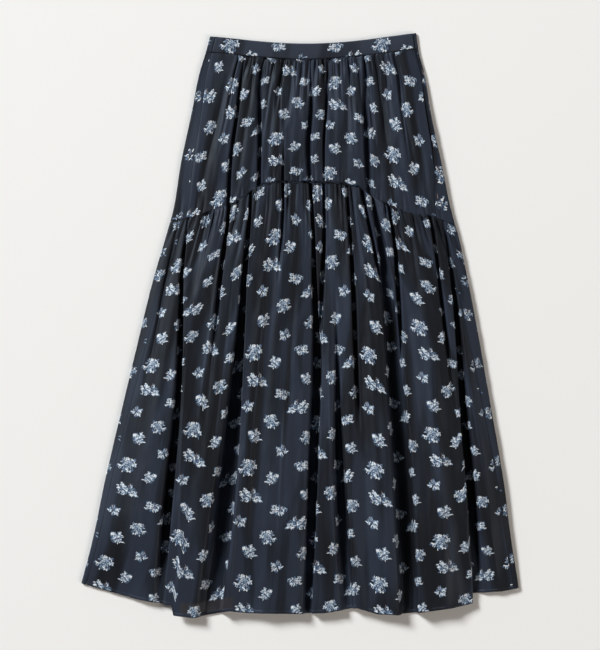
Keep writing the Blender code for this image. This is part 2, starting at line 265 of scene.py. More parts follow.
long_valleys = [Valley(*row) for row in (
    ("left short", (0.030, 0.036, 0.044, 0.052, 0.060, 0.060, 0.060),
     (0.004,) * 7, (0.5, 0.6, 0.4, 0.0, 0.0, 0.0, 0.0),
     0.0, 0.8, 0.8),
    ("left long", (0.062, 0.083, 0.110, 0.143, 0.163, 0.175, 0.188),
     (0.005, 0.0065, 0.008, 0.0095, 0.012, 0.013, 0.012), (0.4, 0.9, 1.0, 1.0, 1.0, 0.95, 0.5),
     0.0045, 0.6, 0.2),
    ("left seam", (0.122, 0.128, 0.136, 0.140, 0.140, 0.140, 0.140),
     (0.010, 0.012, 0.010, 0.008, 0.008, 0.008, 0.008), (0.5, 0.3, 0.0, 0.0, 0.0, 0.0, 0.0),
     0.0, 0.8, 0.8),
    ("left upper", (0.200, 0.209, 0.218, 0.226, 0.232, 0.236, 0.240),
     (0.006,) * 7, (0.9, 0.8, 0.5, 0.1, 0.0, 0.0, 0.0),
     0.0, 0.8, 0.4),
    ("left deep", (0.276, 0.284, 0.294, 0.304, 0.309, 0.308, 0.306),
     (0.006, 0.0100, 0.0125, 0.018, 0.026, 0.030, 0.029), (0.8, 1.0, 1.0, 1.0, 1.0, 1.0, 1.0),
     0.0060, 0.25, 0.10),
    ("short seam", (0.394, 0.396, 0.398, 0.400, 0.400, 0.400, 0.400),
     (0.005, 0.005, 0.004, 0.004, 0.004, 0.004, 0.004), (0.9, 0.4, 0.0, 0.0, 0.0, 0.0, 0.0),
     0.0, 0.6, 0.6),
    ("middle deep", (0.496, 0.505, 0.514, 0.526, 0.523, 0.522, 0.522),
     (0.007, 0.007, 0.010, 0.015, 0.0145, 0.013, 0.011), (1.0, 1.0, 1.0, 1.0, 1.0, 1.0, 0.9),
     0.0030, 0.25, 0.2),
    ("middle branch", (0.545, 0.541, 0.538, 0.535, 0.533, 0.533, 0.533),
     (0.005, 0.006, 0.006, 0.005, 0.005, 0.005, 0.005), (0.8, 0.9, 0.8, 0.3, 0.0, 0.0, 0.0),
     0.0, 0.5, 0.4),
    ("knee", (0.575, 0.575, 0.578, 0.584, 0.588, 0.599, 0.612),
     (0.004, 0.004, 0.004, 0.006, 0.010, 0.013, 0.012), (0.0, 0.0, 0.0, 0.4, 0.95, 1.0, 0.8),
     0.0015, 0.8, 0.4),
    ("right upper", (0.630, 0.630, 0.635, 0.636, 0.640, 0.650, 0.660),
     (0.005, 0.005, 0.006, 0.006, 0.006, 0.006, 0.006), (0.6, 0.8, 0.95, 0.7, 0.0, 0.0, 0.0),
     0.0, 0.6, 0.5),
    ("right branch", (0.686, 0.705, 0.728, 0.740, 0.740, 0.740, 0.740),
     (0.006,) * 7, (0.9, 0.9, 0.3, 0.0, 0.0, 0.0, 0.0),
     0.0, 0.5, 0.5),
    ("right deep", (0.722, 0.734, 0.742, 0.745, 0.746, 0.748, 0.748),
     (0.007, 0.015, 0.020, 0.024, 0.026, 0.025, 0.022), (0.9, 1.0, 1.0, 1.0, 1.0, 1.0, 1.0),
     0.0010, 0.14, 0.10),
    ("right twin", (0.778, 0.778, 0.774, 0.766, 0.760, 0.760, 0.760),
     (0.005, 0.006, 0.006, 0.005, 0.005, 0.005, 0.005), (0.8, 1.0, 0.9, 0.3, 0.0, 0.0, 0.0),
     0.0, 0.6, 0.4),
    ("right side", (0.918, 0.911, 0.905, 0.900, 0.896, 0.896, 0.896),
     (0.005,) * 7, (0.6, 0.8, 0.7, 0.2, 0.0, 0.0, 0.0),
     0.0, 0.7, 0.5),
    ("right long", (0.960, 0.951, 0.943, 0.928, 0.915, 0.910, 0.902),
     (0.005, 0.0075, 0.0090, 0.011, 0.013, 0.014, 0.014), (0.5, 0.9, 1.0, 1.0, 1.0, 1.0, 1.0),
     -0.0040, 0.2, 0.6),
)]


class Crease(NamedTuple):
    """A soft ridge, or a trough where the height is below 0, along a slanting line."""
    top: float
    foot: float
    across_top: float
    across_foot: float
    width: float
    height: float


creases = [Crease(*row) for row in (
    (0.29, 0.56, 0.050, 0.048, 0.009, -0.0020),
    (0.30, 0.70, 0.080, 0.100, 0.012, 0.0012),
    (0.52, 0.86, 0.045, 0.070, 0.020, -0.0012),
    (0.60, 0.88, 0.110, 0.150, 0.018, 0.0009),
    (0.38, 0.88, 0.140, 0.240, 0.010, 0.0007),
    (0.36, 0.84, 0.165, 0.236, 0.016, -0.0012),
    (0.33, 0.88, 0.236, 0.262, 0.012, 0.0010),
    (0.36, 0.66, 0.254, 0.262, 0.005, -0.0012),
    (0.34, 0.80, 0.350, 0.352, 0.010, 0.0018),
    (0.30, 0.78, 0.382, 0.384, 0.013, -0.0026),
    (0.42, 0.88, 0.420, 0.424, 0.016, 0.0020),
    (0.36, 0.62, 0.452, 0.446, 0.010, -0.0018),
    (0.38, 0.88, 0.488, 0.494, 0.010, 0.0014),
    (0.44, 0.84, 0.554, 0.562, 0.007, 0.0010),
    (0.50, 0.88, 0.612, 0.622, 0.010, 0.0016),
    (0.42, 0.88, 0.646, 0.656, 0.011, -0.0026),
    (0.40, 0.86, 0.680, 0.684, 0.009, 0.0020),
    (0.34, 0.88, 0.700, 0.708, 0.014, 0.0022),
    (0.36, 0.80, 0.794, 0.800, 0.012, -0.0026),
    (0.38, 0.88, 0.846, 0.832, 0.014, 0.0024),
    (0.44, 0.88, 0.876, 0.872, 0.012, -0.0020),
    (0.36, 0.88, 0.960, 0.952, 0.010, 0.0014),
    (0.50, 0.84, 0.978, 0.974, 0.008, -0.0010),
    (0.64, 0.87, 0.343, 0.349, 0.0034, 0.0022),
    (0.36, 0.80, 0.360, 0.374, 0.0036, 0.0020),
    (0.45, 0.80, 0.440, 0.443, 0.0036, 0.0018),
    (0.47, 0.81, 0.560, 0.574, 0.0036, 0.0018),
    (0.30, 0.46, 0.655, 0.690, 0.0050, 0.0016),
    (0.45, 0.76, 0.868, 0.832, 0.0050, 0.0015),
    (0.41, 0.86, 0.955, 0.953, 0.0036, 0.0018),
    (0.45, 0.81, 0.122, 0.190, 0.0036, 0.0019),
    (0.47, 0.86, 0.152, 0.230, 0.0036, 0.0018),
    (0.29, 0.60, 0.200, 0.214, 0.0036, 0.0017),
    (0.05, 0.25, 0.130, 0.085, 0.014, -0.0032),
    (0.13, 0.25, 0.055, 0.060, 0.010, 0.0010),
    (0.12, 0.24, 0.148, 0.140, 0.012, 0.0012),
    (0.04, 0.16, 0.228, 0.240, 0.010, 0.0010),
    (0.08, 0.24, 0.338, 0.330, 0.010, -0.0026),
    (0.05, 0.25, 0.236, 0.226, 0.010, -0.0022),
    (0.08, 0.25, 0.800, 0.806, 0.014, -0.0026),
    (0.10, 0.25, 0.930, 0.925, 0.012, -0.0020),
    (0.04, 0.16, 0.420, 0.390, 0.012, -0.0028),
    (0.08, 0.25, 0.440, 0.430, 0.014, 0.0014),
    (0.06, 0.22, 0.620, 0.600, 0.012, 0.0012),
    (0.05, 0.20, 0.660, 0.645, 0.010, -0.0028),
    (0.08, 0.22, 0.690, 0.680, 0.010, 0.0014),
    (0.05, 0.20, 0.830, 0.770, 0.014, -0.0030),
    (0.12, 0.25, 0.870, 0.855, 0.016, 0.0014),
)]


class Gather(NamedTuple):
    """A run of small pleats let into a seam: the grooves between them, or broad swells."""
    seam: float
    way: float
    first: float
    last: float
    spacing: float
    width: float
    height: float
    reach: float
    seed: int


gathers = [Gather(*row) for row in (
    (BAND_FOOT_LEVEL, 1, 0.200, 0.860, 0.0170, 0.0042, -0.0030, 0.050, 3),
    (BAND_FOOT_LEVEL, 1, 0.160, 0.900, 0.0340, 0.0062, -0.0050, 0.160, 5),
    (BAND_FOOT_LEVEL, 1, 0.160, 0.940, 0.0700, 0.0220, 0.0013, 0.200, 7),
    (TIER_LEVEL, -1, 0.030, 0.975, 0.0260, 0.0046, -0.0022, 0.042, 11),
    (TIER_LEVEL, 1, 0.012, 0.985, 0.0120, 0.0030, -0.0028, 0.038, 17),
    (TIER_LEVEL, 1, 0.020, 0.980, 0.0240, 0.0042, -0.0040, 0.090, 23),
    (TIER_LEVEL, 1, 0.020, 0.980, 0.0560, 0.0200, 0.0014, 0.260, 29),
    (TIER_LEVEL, 1, 0.030, 0.970, 0.0720, 0.0260, 0.0020, 0.620, 31),
)]


PLEAT_GAPS = (0.45, 1.60)
PLEAT_STRENGTHS = (0.35, 1.30)
PLEAT_LENGTHS = (0.35, 1.60)
PLEAT_SLANTS = (-0.12, 0.12)
PLEAT_FANNING = 0.25
PLEAT_WIDTHS = (0.7, 1.3)
PLEAT_WIDTH_AT_SEAM = 0.7
PLEAT_WIDENING = 0.9
PLEAT_FADE = 1.1
STITCHED_SHARE = 0.30
STITCHED_REACH = 0.006


def pleats(run, level, across):
    """Height of one run of small pleats, each with its own place, width, length and slant."""
    rng = np.random.default_rng(run.seed)
    away = (level - run.seam) * run.way
    height = np.zeros_like(across)
    place = run.first
    while place < run.last:
        gap = run.spacing * rng.uniform(*PLEAT_GAPS)
        strength = run.height * rng.uniform(*PLEAT_STRENGTHS)
        length = run.reach * rng.uniform(*PLEAT_LENGTHS)
        slant = rng.uniform(*PLEAT_SLANTS) + PLEAT_FANNING * (place - 0.5)
        own_width = run.width * rng.uniform(*PLEAT_WIDTHS)
        if 0 <= away < length:
            part = away / length
            width = own_width * (PLEAT_WIDTH_AT_SEAM + PLEAT_WIDENING * part)
            freed = 1 - math.exp(-away / STITCHED_REACH)
            fade = (1 - part) ** PLEAT_FADE * (STITCHED_SHARE + (1 - STITCHED_SHARE) * freed)
            height += strength * fade * np.exp(-((across - place - slant * away) / width) ** 2)
        place += gap
    return height


class Crumple(NamedTuple):
    """Fine unevenness: its height, and how wide its cells are and how much longer than wide."""
    height: float
    seed: int
    cell: float
    stretch: float


front_crumples = (
    Crumple(height=0.0020, seed=41, cell=0.036, stretch=5.0),
    Crumple(height=0.0008, seed=43, cell=0.014, stretch=3.6),
    Crumple(height=0.0003, seed=45, cell=0.007, stretch=2.4),
)
back_crumple = Crumple(height=0.0003, seed=47, cell=0.030, stretch=4.0)
CRUMPLE_CELLS = 64
CRUMPLE_START_ACROSS = 7.3
CRUMPLE_START_DOWN = 3.1


def crumple(across_m, down_m, kind):
    """Smooth random height from -1 to 1, in cells that are longer down the cloth than across."""
    rng = np.random.default_rng(kind.seed)
    cells = rng.uniform(-1, 1, (CRUMPLE_CELLS, CRUMPLE_CELLS))
    a = across_m / kind.cell + CRUMPLE_START_ACROSS
    d = down_m / (kind.cell * kind.stretch) + CRUMPLE_START_DOWN
    a_low, d_low = np.floor(a).astype(int), np.floor(d).astype(int)
    a_part, d_part = ease(0, 1, a - a_low), ease(0, 1, d - d_low)
    a_high, d_high = (a_low + 1) % CRUMPLE_CELLS, (d_low + 1) % CRUMPLE_CELLS
    a_low, d_low = a_low % CRUMPLE_CELLS, d_low % CRUMPLE_CELLS
    top = cells[a_low, d_low] * (1 - a_part) + cells[a_high, d_low] * a_part
    foot = cells[a_low, d_high] * (1 - a_part) + cells[a_high, d_high] * a_part
    return top * (1 - d_part) + foot * d_part


SIDE_FOLD_HEIGHT = 0.0040
RIGHT_SIDE_SWELL = 0.0034
SWELL_FROM = 0.03
SWELL_FULL = 0.14
SWELL_SINKS_FROM = 0.78
SWELL_SINKS_BY = 0.7


def side_height(across, level):
    """Height of the rolled sides: the right one stands a little higher between band and hem."""
    sunk = SWELL_SINKS_BY * ease(SWELL_SINKS_FROM, HEM_LEVEL, level)
    swell = RIGHT_SIDE_SWELL * float(ease(SWELL_FROM, SWELL_FULL, level) - sunk)
    return SIDE_FOLD_HEIGHT + swell * across


def seam_shares(level):
    """Where the two side seams run on the front, as shares of its width."""
    left, right = side_x(level)
    width = right - left
    left_share = smooth(fold_levels, left_wrap, level) / width
    return float(left_share), float(1 - smooth(fold_levels, right_wrap, level) / width)


CREASE_FADE = 0.7
CREASE_START = 0.35
VALLEY_WALL_FOOT = 0.6
VALLEY_WALL_SHIFT = 0.3
LEAN_FROM = 0.75
LEAN_FULL = 1.10
LEAN_REACH = 1.6
FLATTENED_IN_VALLEY = 0.8
PLEATS_FROM_SIDE = 0.010
LOWEST_SHARE = 0.9


def crease_heights(across, level):
    """Height of all creases at a level. One that reaches the hem doesn't fade out there."""
    total = np.zeros_like(across)
    for crease in creases:
        if crease.top < level < crease.foot:
            part = (level - crease.top) / (crease.foot - crease.top)
            place = crease.across_top + (crease.across_foot - crease.across_top) * part
            fade = math.sin(math.pi * part) ** CREASE_FADE
            if crease.foot >= HEM_LEVEL:
                fade = float(ease(0.0, CREASE_START, part))
            total = total + crease.height * fade * np.exp(-((across - place) / crease.width) ** 2)
    return total


def valley_drop(across, level):
    """How far the cloth drops into the valleys, from 0 to 1, and how far proud folds lean."""
    drop = np.zeros_like(across)
    shift = np.zeros_like(across)
    stretch, part = part_way(level)
    stations, valleys = (hip_stations, hip_valleys) if stretch < 2 else (long_stations, long_valleys)
    for valley in valleys:
        middle = float(smooth(stations, valley.across, part))
        reach = float(smooth(stations, valley.reach, part))
        depth = float(np.clip(smooth(stations, valley.depth, part), 0.0, 1.0))
        place = (across - middle) / reach
        left_foot = -VALLEY_WALL_FOOT + VALLEY_WALL_SHIFT * valley.left_run
        right_foot = VALLEY_WALL_FOOT - VALLEY_WALL_SHIFT * valley.right_run
        wall_left = ease(-1.0 - valley.left_run, left_foot, place)
        wall_right = 1 - ease(right_foot, 1.0 + valley.right_run, place)
        drop = np.maximum(drop, depth * np.minimum(wall_left, wall_right))
        if valley.lean:
            hanging = place * math.copysign(1, valley.lean)
            past = (hanging - LEAN_FULL).clip(0) / LEAN_REACH
            over = ease(LEAN_FROM, LEAN_FULL, hanging) * np.exp(-past ** 2)
            shift = shift - valley.lean * over * depth * level / HEM_LEVEL
    return drop, shift


def front_form(across, level):
    """Points of the front's outer face along one level: x, y and height in metres."""
    across = np.asarray(across, dtype=float)
    down = front_down(across, level)
    left, right = side_x(down)
    x = left + across * (right - left)
    to_side = np.minimum(x - left, right - x).clip(0)
    settled = float(ease(HEM_SETTLES_FROM, HEM_LEVEL, level))
    lift = smooth(fold_crests, fold_lifts, across)
    lift = lift * (1 - settled * (1 - smooth(fold_crests, hem_lifts, across)))
    top = smooth(fold_levels, fold_heights, level) * lift
    rise = 1 - np.exp(-to_side / SIDE_RISE)
    side = side_height(across, level)
    height = side + (top - side).clip(0) * rise
    height = height + crease_heights(across, level)
    for kind in front_crumples:
        height = height + kind.height * crumple(x, down, kind) * rise
    drop, shift = valley_drop(across, level)
    height = height - drop * (height - VALLEY_FLOOR)
    kept = (1 - FLATTENED_IN_VALLEY * drop) * ease(0.0, PLEATS_FROM_SIDE, to_side)
    for run in gathers:
        height = height + pleats(run, level, across) * kept
    height = np.maximum(height, VALLEY_FLOOR * LOWEST_SHARE)
    return np.stack([x + shift, HALF_LENGTH - down, height], axis=1)


def evenly_spaced(path, columns):
    """Points spaced evenly along the cloth on a path, and the path's length along it."""
    steps = np.hypot(np.diff(path[:, 0]), np.diff(path[:, 2]))
    run = np.concatenate([[0.0], np.cumsum(steps)])
    even = np.linspace(0.0, run[-1], columns)
    return np.stack([np.interp(even, run, path[:, axis]) for axis in range(3)], axis=1), run[-1]


WRAP_STEPS = 60
TURN_STEPS = 24
TURN_OVERLAP = 3
BACK_STEPS = 900
BACK_ENDS = 4
BACK_PLEAT_SHARE = 0.10
BACK_SMOOTH_ENDS = 0.05


def side_turn(edge, outward, level):
    """Half round of the cloth at a side, from the front's edge down to the surface."""
    radius = (side_height((1 + outward) / 2, level) - CLOTH_CLEARANCE) / 2
    bend = np.linspace(0.0, math.pi, TURN_STEPS)
    x = edge[0] - outward * radius * (1 - np.sin(bend))
    height = CLOTH_CLEARANCE + radius * (1 + np.cos(bend))
    return np.stack([x, np.full_like(x, edge[1]), height], axis=1)


def back_face(level):
    """Points of the back along the surface, slightly lifted by its gathers."""
    across = np.linspace(0.0, 1.0, BACK_STEPS)[BACK_ENDS:-BACK_ENDS]
    down = back_down(across, level)
    left, right = side_x(down)
    x = left + across * (right - left)
    lifted = sum(BACK_PLEAT_SHARE * np.abs(pleats(run, level, 1 - across)) for run in gathers)
    lifted = lifted + back_crumple.height * (1 + crumple(x, down, back_crumple))
    lifted = lifted * ease(0.0, BACK_SMOOTH_ENDS, across) * ease(0.0, BACK_SMOOTH_ENDS, 1 - across)
    return np.stack([x, HALF_LENGTH - down, CLOTH_CLEARANCE + lifted], axis=1)


def back_row(level, columns):
    """Points of the back: in from the left seam, over the fold, along the surface, and up again."""
    left_share, right_share = seam_shares(level)
    over_left = front_form(np.linspace(left_share, 0.0, WRAP_STEPS), level)
    over_right = front_form(np.linspace(1.0, right_share, WRAP_STEPS), level)
    path = np.concatenate([
        over_left[:-TURN_OVERLAP], side_turn(over_left[-1], -1, level), back_face(level),
        side_turn(over_right[0], 1, level)[::-1], over_right[TURN_OVERLAP:]])
    return evenly_spaced(path, columns)


def cloth_grid(levels, columns, make_row):
    """Grid of points down a piece, and the widest row's length along the cloth."""
    rows, widest = [], 0.0
    for level in levels:
        row, length = make_row(level, columns)
        rows.append(row)
        widest = max(widest, length)
    return np.stack(rows), widest


def cut_heights(levels, height):
    """How far above its foot each row of a piece lies on the flat cut."""
    return height * (levels[-1] - levels) / (levels[-1] - levels[0])


def mesh_piece(name, points, faces, map_name, map_values, material):
    """An object with a smooth mesh and a named map, given as one value for each face corner."""
    mesh = bpy.data.meshes.new(name)
    mesh.from_pydata(points.reshape(-1, 3).tolist(), [], faces.tolist())
    mesh.uv_layers.new(name=map_name).data.foreach_set("uv", map_values.ravel())
    mesh.materials.append(material)
    mesh.shade_smooth()
    piece = bpy.data.objects.new(name, mesh)
    bpy.context.scene.collection.objects.link(piece)
    return piece


def cloth_piece(name, grid, levels, width, height, material, facing_up=True):
    """A thin sheet through a grid of points, with a map of its flat cut in metres."""
    rows, columns = grid.shape[:2]
    corner = (np.arange(rows - 1)[:, None] * columns + np.arange(columns - 1)[None, :]).ravel()
    faces = np.stack([corner, corner + columns, corner + columns + 1, corner + 1], axis=1)
    if not facing_up:
        faces = faces[:, ::-1]
    cut_u = np.tile(np.linspace(0.0, width, columns), rows)
    cut_v = np.repeat(cut_heights(levels, height), columns)
    flat = np.stack([cut_u, cut_v], axis=1)[faces.ravel()]
    return mesh_piece(name, grid, faces, "cut", flat, material)


def new_material(name):
    """A new material with its node tree and its shader node."""
    material = bpy.data.materials.new(name)
    material.use_nodes = True
    return material, material.node_tree, material.node_tree.nodes["Principled BSDF"]


def add_node(tree, kind, **settings):
    """A shader node with its settings, and its inputs where a setting names one."""
    node = tree.nodes.new(kind)
    for key, value in settings.items():
        if hasattr(node, key):
            setattr(node, key, value)
        else:
            node.inputs[key.replace("_", " ")].default_value = value
    return node


def colour_steps(tree, factor, stops):
    """A ramp of colours driven by a factor socket."""
    ramp = tree.nodes.new("ShaderNodeValToRGB")
    ramp.color_ramp.interpolation = "EASE"
    while len(ramp.color_ramp.elements) < len(stops):
        ramp.color_ramp.elements.new(0.5)
    for element, (place, colour) in zip(ramp.color_ramp.elements, stops):
        element.position = place
        element.color = (*colour, 1.0)
    tree.links.new(factor, ramp.inputs["Fac"])
    return ramp.outputs["Color"]


def stretched_noise(tree, grains, detail, seed=0.0):
    """Noise on the flat cut, with so many grains to a metre across and along the cloth."""
    cut = add_node(tree, "ShaderNodeUVMap", uv_map="cut")
    scale = add_node(tree, "ShaderNodeMapping", Location=(seed, seed * 0.7, seed * 0.3),
                     Scale=(*grains, 1.0))
    noise = add_node(tree, "ShaderNodeTexNoise", Scale=1.0, Detail=detail, Roughness=0.55)
    tree.links.new(cut.outputs["UV"], scale.inputs["Vector"])
    tree.links.new(scale.outputs["Vector"], noise.inputs["Vector"])
    return noise.outputs["Fac"]


def math_node(tree, operation, *inputs):
    """Result of a Math node. Each of its inputs is a socket or a plain number."""
    node = add_node(tree, "ShaderNodeMath", operation=operation)
    for socket, value in zip(node.inputs, inputs):
        if isinstance(value, float):
            socket.default_value = value
        else:
            tree.links.new(value, socket)
    return node.outputs[0]


def set_inputs(node, values):
    """Sets the named inputs of a node to plain values."""
    for name, value in values.items():
        node.inputs[name].default_value = value


STREAK_GRAINS = (420.0, 9.0)
CLOUD_GRAINS = (30.0, 4.0)
RIB_GRAINS = (500.0, 1500.0)
SLUB_GRAINS = (900.0, 40.0)
STREAK_SHARE = 0.13
colour_places = (0.40, 0.50, 0.60)


def taffeta(name, dark, mid, light, roughness, sheen):
    """Thin shot taffeta: streaked along the warp, finely ribbed across it, with a soft sheen."""
    material, tree, shader = new_material(name)
    streak = stretched_noise(tree, STREAK_GRAINS, 3.0)
    cloud = stretched_noise(tree, CLOUD_GRAINS, 1.0, seed=5.0)
    cloud_part = math_node(tree, "MULTIPLY", cloud, 1 - STREAK_SHARE)
    shade = math_node(tree, "MULTIPLY_ADD", streak, STREAK_SHARE, cloud_part)
    colour = colour_steps(tree, shade, tuple(zip(colour_places, (dark, mid, light))))
    tree.links.new(colour, shader.inputs["Base Color"])
    rough = add_node(tree, "ShaderNodeMapRange", From_Min=0.3, From_Max=0.7,
                     To_Min=roughness - 0.05, To_Max=roughness + 0.07)
    tree.links.new(streak, rough.inputs["Value"])
    tree.links.new(rough.outputs["Result"], shader.inputs["Roughness"])
    rib = stretched_noise(tree, RIB_GRAINS, 1.0, seed=2.0)
    slub = stretched_noise(tree, SLUB_GRAINS, 1.0, seed=9.0)
    bump = add_node(tree, "ShaderNodeBump", Strength=0.25, Distance=0.0002)
    tree.links.new(math_node(tree, "ADD", rib, slub), bump.inputs["Height"])
    tree.links.new(bump.outputs["Normal"], shader.inputs["Normal"])
    set_inputs(shader, {
        "Specular IOR Level": 0.31, "Specular Tint": (0.72, 0.84, 1.0, 1.0),
        "Sheen Weight": sheen, "Sheen Roughness": 0.35, "Sheen Tint": (0.62, 0.72, 1.0, 1.0)})
    return material


tier_cloth = taffeta(
    "navy taffeta", dark=(0.0056, 0.0055, 0.0074), mid=(0.0096, 0.0114, 0.0174),
    light=(0.0190, 0.0246, 0.0398), roughness=0.57, sheen=0.035)
HEM_TURN = 0.006


def spaced(top, foot, rows, bias, hem_rows=0):
    """Levels of a piece's rows, closer together towards the seam at its top, and at a hem."""
    part = np.linspace(0.0, 1.0, rows - hem_rows)
    last = foot - HEM_TURN * (hem_rows > 0)
    levels = top + (last - top) * ((1 - bias) * part + bias * part ** 2)
    return np.concatenate([levels, np.linspace(foot - HEM_TURN, foot, hem_rows + 1)[1:]])


ROW_GAP = 0.0003
back_hip_levels = spaced(BAND_FOOT_LEVEL + ROW_GAP, TIER_LEVEL - ROW_GAP, rows=70, bias=0.0)
back_long_levels = spaced(TIER_LEVEL + ROW_GAP, HEM_LEVEL, rows=110, bias=0.3)
back_hip_grid, back_hip_width = cloth_grid(back_hip_levels, 300, back_row)
back_long_grid, back_long_width = cloth_grid(back_long_levels, 340, back_row)
back_upper = cloth_piece("back_hip_tier_cloth", back_hip_grid, back_hip_levels, back_hip_width,
                         HIP_CUT_HEIGHT, tier_cloth, facing_up=False)
back_lower = cloth_piece("back_long_tier_cloth", back_long_grid, back_long_levels, back_long_width,
                         LONG_CUT_HEIGHT, tier_cloth, facing_up=False)
for piece, node in ((back_upper, "back_upper_tier"), (back_lower, "back_lower_tier")):
    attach(piece, "root")
    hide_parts(node)

# The pocket bag is a rounded pouch of plain navy lining, caught in the right side seam behind
# the open slit. Only a dark strip of it shows.
POCKET_TOP = 0.088
POCKET_FOOT = 0.236
POCKET_REACH = 0.075
POCKET_SIDE_CLEARANCE = 0.006
POCKET_BASE = 0.0024
POCKET_ROUND_FROM = 0.12
POCKET_ROUND_SPAN = 0.80
POCKET_RIPPLE = 0.0003
POCKET_RIPPLE_ACROSS = 9.0
POCKET_RIPPLE_DOWN = 5.0


def pocket_row(part, columns):
    """Points of the bag from the side seam inwards. Its depth rounds off at top and foot."""
    down = POCKET_TOP + part * (POCKET_FOOT - POCKET_TOP)
    outer = float(side_x(down)[1]) - POCKET_SIDE_CLEARANCE
    rounded = math.sin(math.pi * (POCKET_ROUND_FROM + POCKET_ROUND_SPAN * part))
    reach = POCKET_REACH * math.sqrt(rounded)
    across = np.linspace(1.0, 0.0, columns)
    x = outer - reach * across
    ripple = np.sin(across * POCKET_RIPPLE_ACROSS + part * POCKET_RIPPLE_DOWN)
    height = POCKET_BASE + POCKET_RIPPLE * ripple
    return np.stack([x, np.full_like(x, HALF_LENGTH - down), height], axis=1), reach


lining = taffeta(
    "pocket lining", dark=(0.004, 0.004, 0.007), mid=(0.006, 0.007, 0.011),
    light=(0.009, 0.010, 0.016), roughness=0.6, sheen=0.05)
pocket_parts = np.linspace(0.0, 1.0, 40)
pocket_grid, pocket_width = cloth_grid(pocket_parts, 28, pocket_row)
pocket = cloth_piece("pocket_bag_cloth", pocket_grid, pocket_parts, pocket_width,
                     POCKET_FOOT - POCKET_TOP, lining)
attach(pocket, "root")
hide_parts("pocket_bag")

# The front of the hip tier is one width of the taffeta, gathered into the band over its
# middle. Its right edge stands a little open at the pocket slit.
SLIT_TOP_LEVEL = 0.066
SLIT_FOOT_LEVEL = 0.185
SLIT_OPENING = 0.0014
SLIT_ROUNDING = 0.6
SLIT_LIP_REACH = 0.006
SLIT_LIP_RISE = 0.35
SEAM_TURN = 0.0004
SEAM_TURN_REACH_SIDE = 0.0011
SEAM_TURN_REACH_LEVEL = 0.0016
FACE_STEPS = 1800
HIP_SEAM_GAP = 0.0006


def seam_to_seam(level, columns, gap):
    """Points of the front's outer face between the side seams, and their length along it."""
    left_share, right_share = seam_shares(level)
    across = np.linspace(left_share + gap, right_share - gap, FACE_STEPS)
    return evenly_spaced(front_form(across, level), columns)


def turned_edges(row, level, seams, slit=False):
    """Rolls a front row's ends, and its whole width at a seam, down into the stitching."""
    to_end = np.minimum(row[:, 0] - row[0, 0], row[-1, 0] - row[:, 0])
    row[:, 2] -= SEAM_TURN * np.exp(-(to_end / SEAM_TURN_REACH_SIDE) ** 2)
    for seam in seams:
        row[:, 2] -= SEAM_TURN * math.exp(-((level - seam) / SEAM_TURN_REACH_LEVEL) ** 2)
    part = (level - SLIT_TOP_LEVEL) / (SLIT_FOOT_LEVEL - SLIT_TOP_LEVEL)
    if slit and 0 < part < 1:
        open_by = SLIT_OPENING * math.sin(math.pi * part) ** SLIT_ROUNDING
        near = np.exp(-((row[-1, 0] - row[:, 0]) / SLIT_LIP_REACH) ** 2)
        row[:, 0] -= open_by * near
        row[:, 2] += SLIT_LIP_RISE * open_by * near
    return row


def front_hip_row(level, columns):
    """Points of the front hip tier at a level, and their length along the cloth."""
    row, length = seam_to_seam(level, columns, HIP_SEAM_GAP)
    return turned_edges(row, level, (BAND_FOOT_LEVEL, TIER_LEVEL), slit=True), length


front_hip_levels = spaced(BAND_FOOT_LEVEL - ROW_GAP, TIER_LEVEL + ROW_GAP, rows=130, bias=0.0)
front_hip_grid, front_hip_width = cloth_grid(front_hip_levels, 380, front_hip_row)
front_upper = cloth_piece("front_hip_tier_cloth", front_hip_grid, front_hip_levels,
                          front_hip_width, HIP_CUT_HEIGHT, tier_cloth)
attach(front_upper, "root")
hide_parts("front_upper_tier")

# The front of the long tier is a wider width of the same cloth, gathered into the arched tier
# seam. Its fullness falls into small pleats, and these run together into the long folds. Left
# of the middle its hem hangs past the back's, and the lit pale surface showing through it there
# is painted into the cloth's colour as a paler patch of painted light.
LONG_SEAM_GAP = 0.0005
HEM_STEP = 0.0007
HEM_STEP_FROM = 0.0046
HEM_STEP_FULL = 0.0038
HEM_EDGE = 0.0006


def front_long_row(level, columns):
    """Points of the front long tier, with a slight step where its hem is doubled."""
    row, length = seam_to_seam(level, columns, LONG_SEAM_GAP)
    row = turned_edges(row, level, (TIER_LEVEL,))
    to_hem = HEM_LEVEL - level
    doubled = float(ease(HEM_STEP_FROM, HEM_STEP_FULL, to_hem) - ease(HEM_EDGE, 0.0, to_hem))
    row[:, 2] += HEM_STEP * doubled
    return row, length


def map_parts(tree, map_name):
    """The X and Y of a named map, as sockets."""
    named_map = add_node(tree, "ShaderNodeUVMap", uv_map=map_name)
    parts = add_node(tree, "ShaderNodeSeparateXYZ")
    tree.links.new(named_map.outputs["UV"], parts.inputs["Vector"])
    return parts.outputs


def mixed_colour(tree, factor, first, second):
    """Mix of a colour socket with a plain second colour, driven by a factor socket."""
    mix = add_node(tree, "ShaderNodeMix", data_type="RGBA")
    colours = {socket.name: socket for socket in mix.inputs if socket.type == "RGBA"}
    tree.links.new(factor, mix.inputs["Factor"])
    tree.links.new(first, colours["A"])
    colours["B"].default_value = (*second, 1.0)
    return next(out for out in mix.outputs if out.type == "RGBA")


front_long_levels = spaced(TIER_LEVEL - ROW_GAP, HEM_LEVEL, rows=200, bias=0.35, hem_rows=9)
front_long_grid, front_long_width = cloth_grid(front_long_levels, 480, front_long_row)
hem_x = front_long_grid[-1, :, 0]
hem_step = front_long_width / (len(hem_x) - 1)
